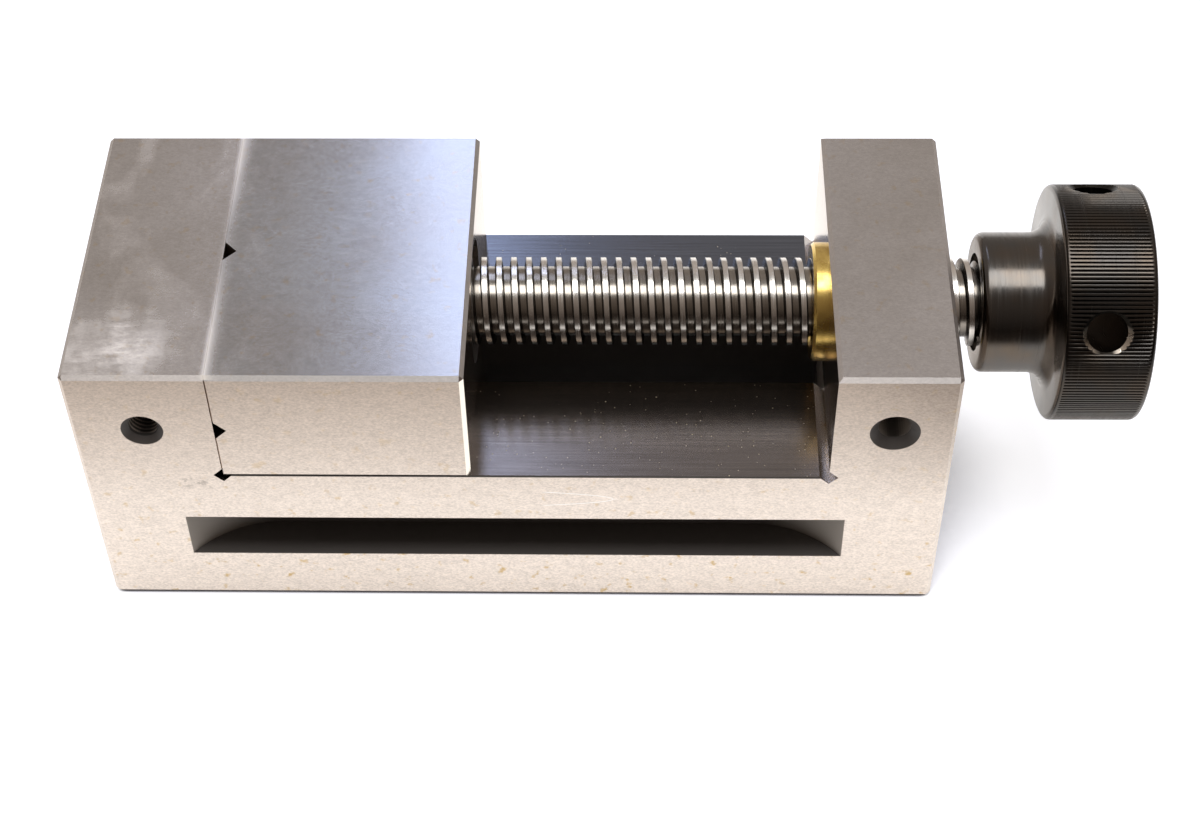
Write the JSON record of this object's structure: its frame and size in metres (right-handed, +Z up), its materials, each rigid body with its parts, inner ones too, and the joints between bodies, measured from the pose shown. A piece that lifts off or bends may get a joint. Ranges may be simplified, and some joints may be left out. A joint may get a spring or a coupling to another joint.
{
  "type": "toolmakers vise",
  "caption": "Precision screw vise: ground steel block with fixed jaw and screw post, sliding jaw with V grooves, lead screw in a flanged brass nut, and a knurled knob.",
  "frame": {"origin": "middle of the underside, below the centre of the whole vise with its knob at rest, jaws closed", "axes": "+X from the fixed jaw towards the knob, +Y towards the back, +Z up out of the base"},
  "size_m": [0.2256, 0.073, 0.0832],
  "materials": {
    "ground_steel": "ground hardened steel",
    "screw_steel": "turned bright steel",
    "brass": "turned brass",
    "black_steel": "black oxide on steel",
    "fastener_steel": "black-oxide fasteners",
    "bright_steel": "ground hardened pins and thrust pad"
  },
  "bodies": {
    "frame": {"vise_body": "ground_steel", "brass_nut": "brass", "nut_lock_screws": "fastener_steel"},
    "jaw": {"moving_jaw": "ground_steel", "keeper_plate": "ground_steel", "keeper_screws": "fastener_steel", "neck_pins": "bright_steel", "thrust_pad": "bright_steel"},
    "screw": {"lead_screw": "screw_steel", "knob": "black_steel", "knob_set_screw": "fastener_steel"}
  },
  "joints": [
    {"name": "jaw_slide", "type": "slide", "parent": "frame", "child": "jaw", "axis": [1, 0, 0], "range_m": [0, 0.075]},
    {"name": "screw_turn", "type": "hinge", "parent": "jaw", "child": "screw", "pos_m": [0, 0, 0.0578], "axis": [1, 0, 0], "range_deg": [0, 8330]}
  ],
  "couplings": [
    {"joint": "jaw_slide", "follows": "screw_turn", "m_per_rad": 0.00051566}
  ]
}
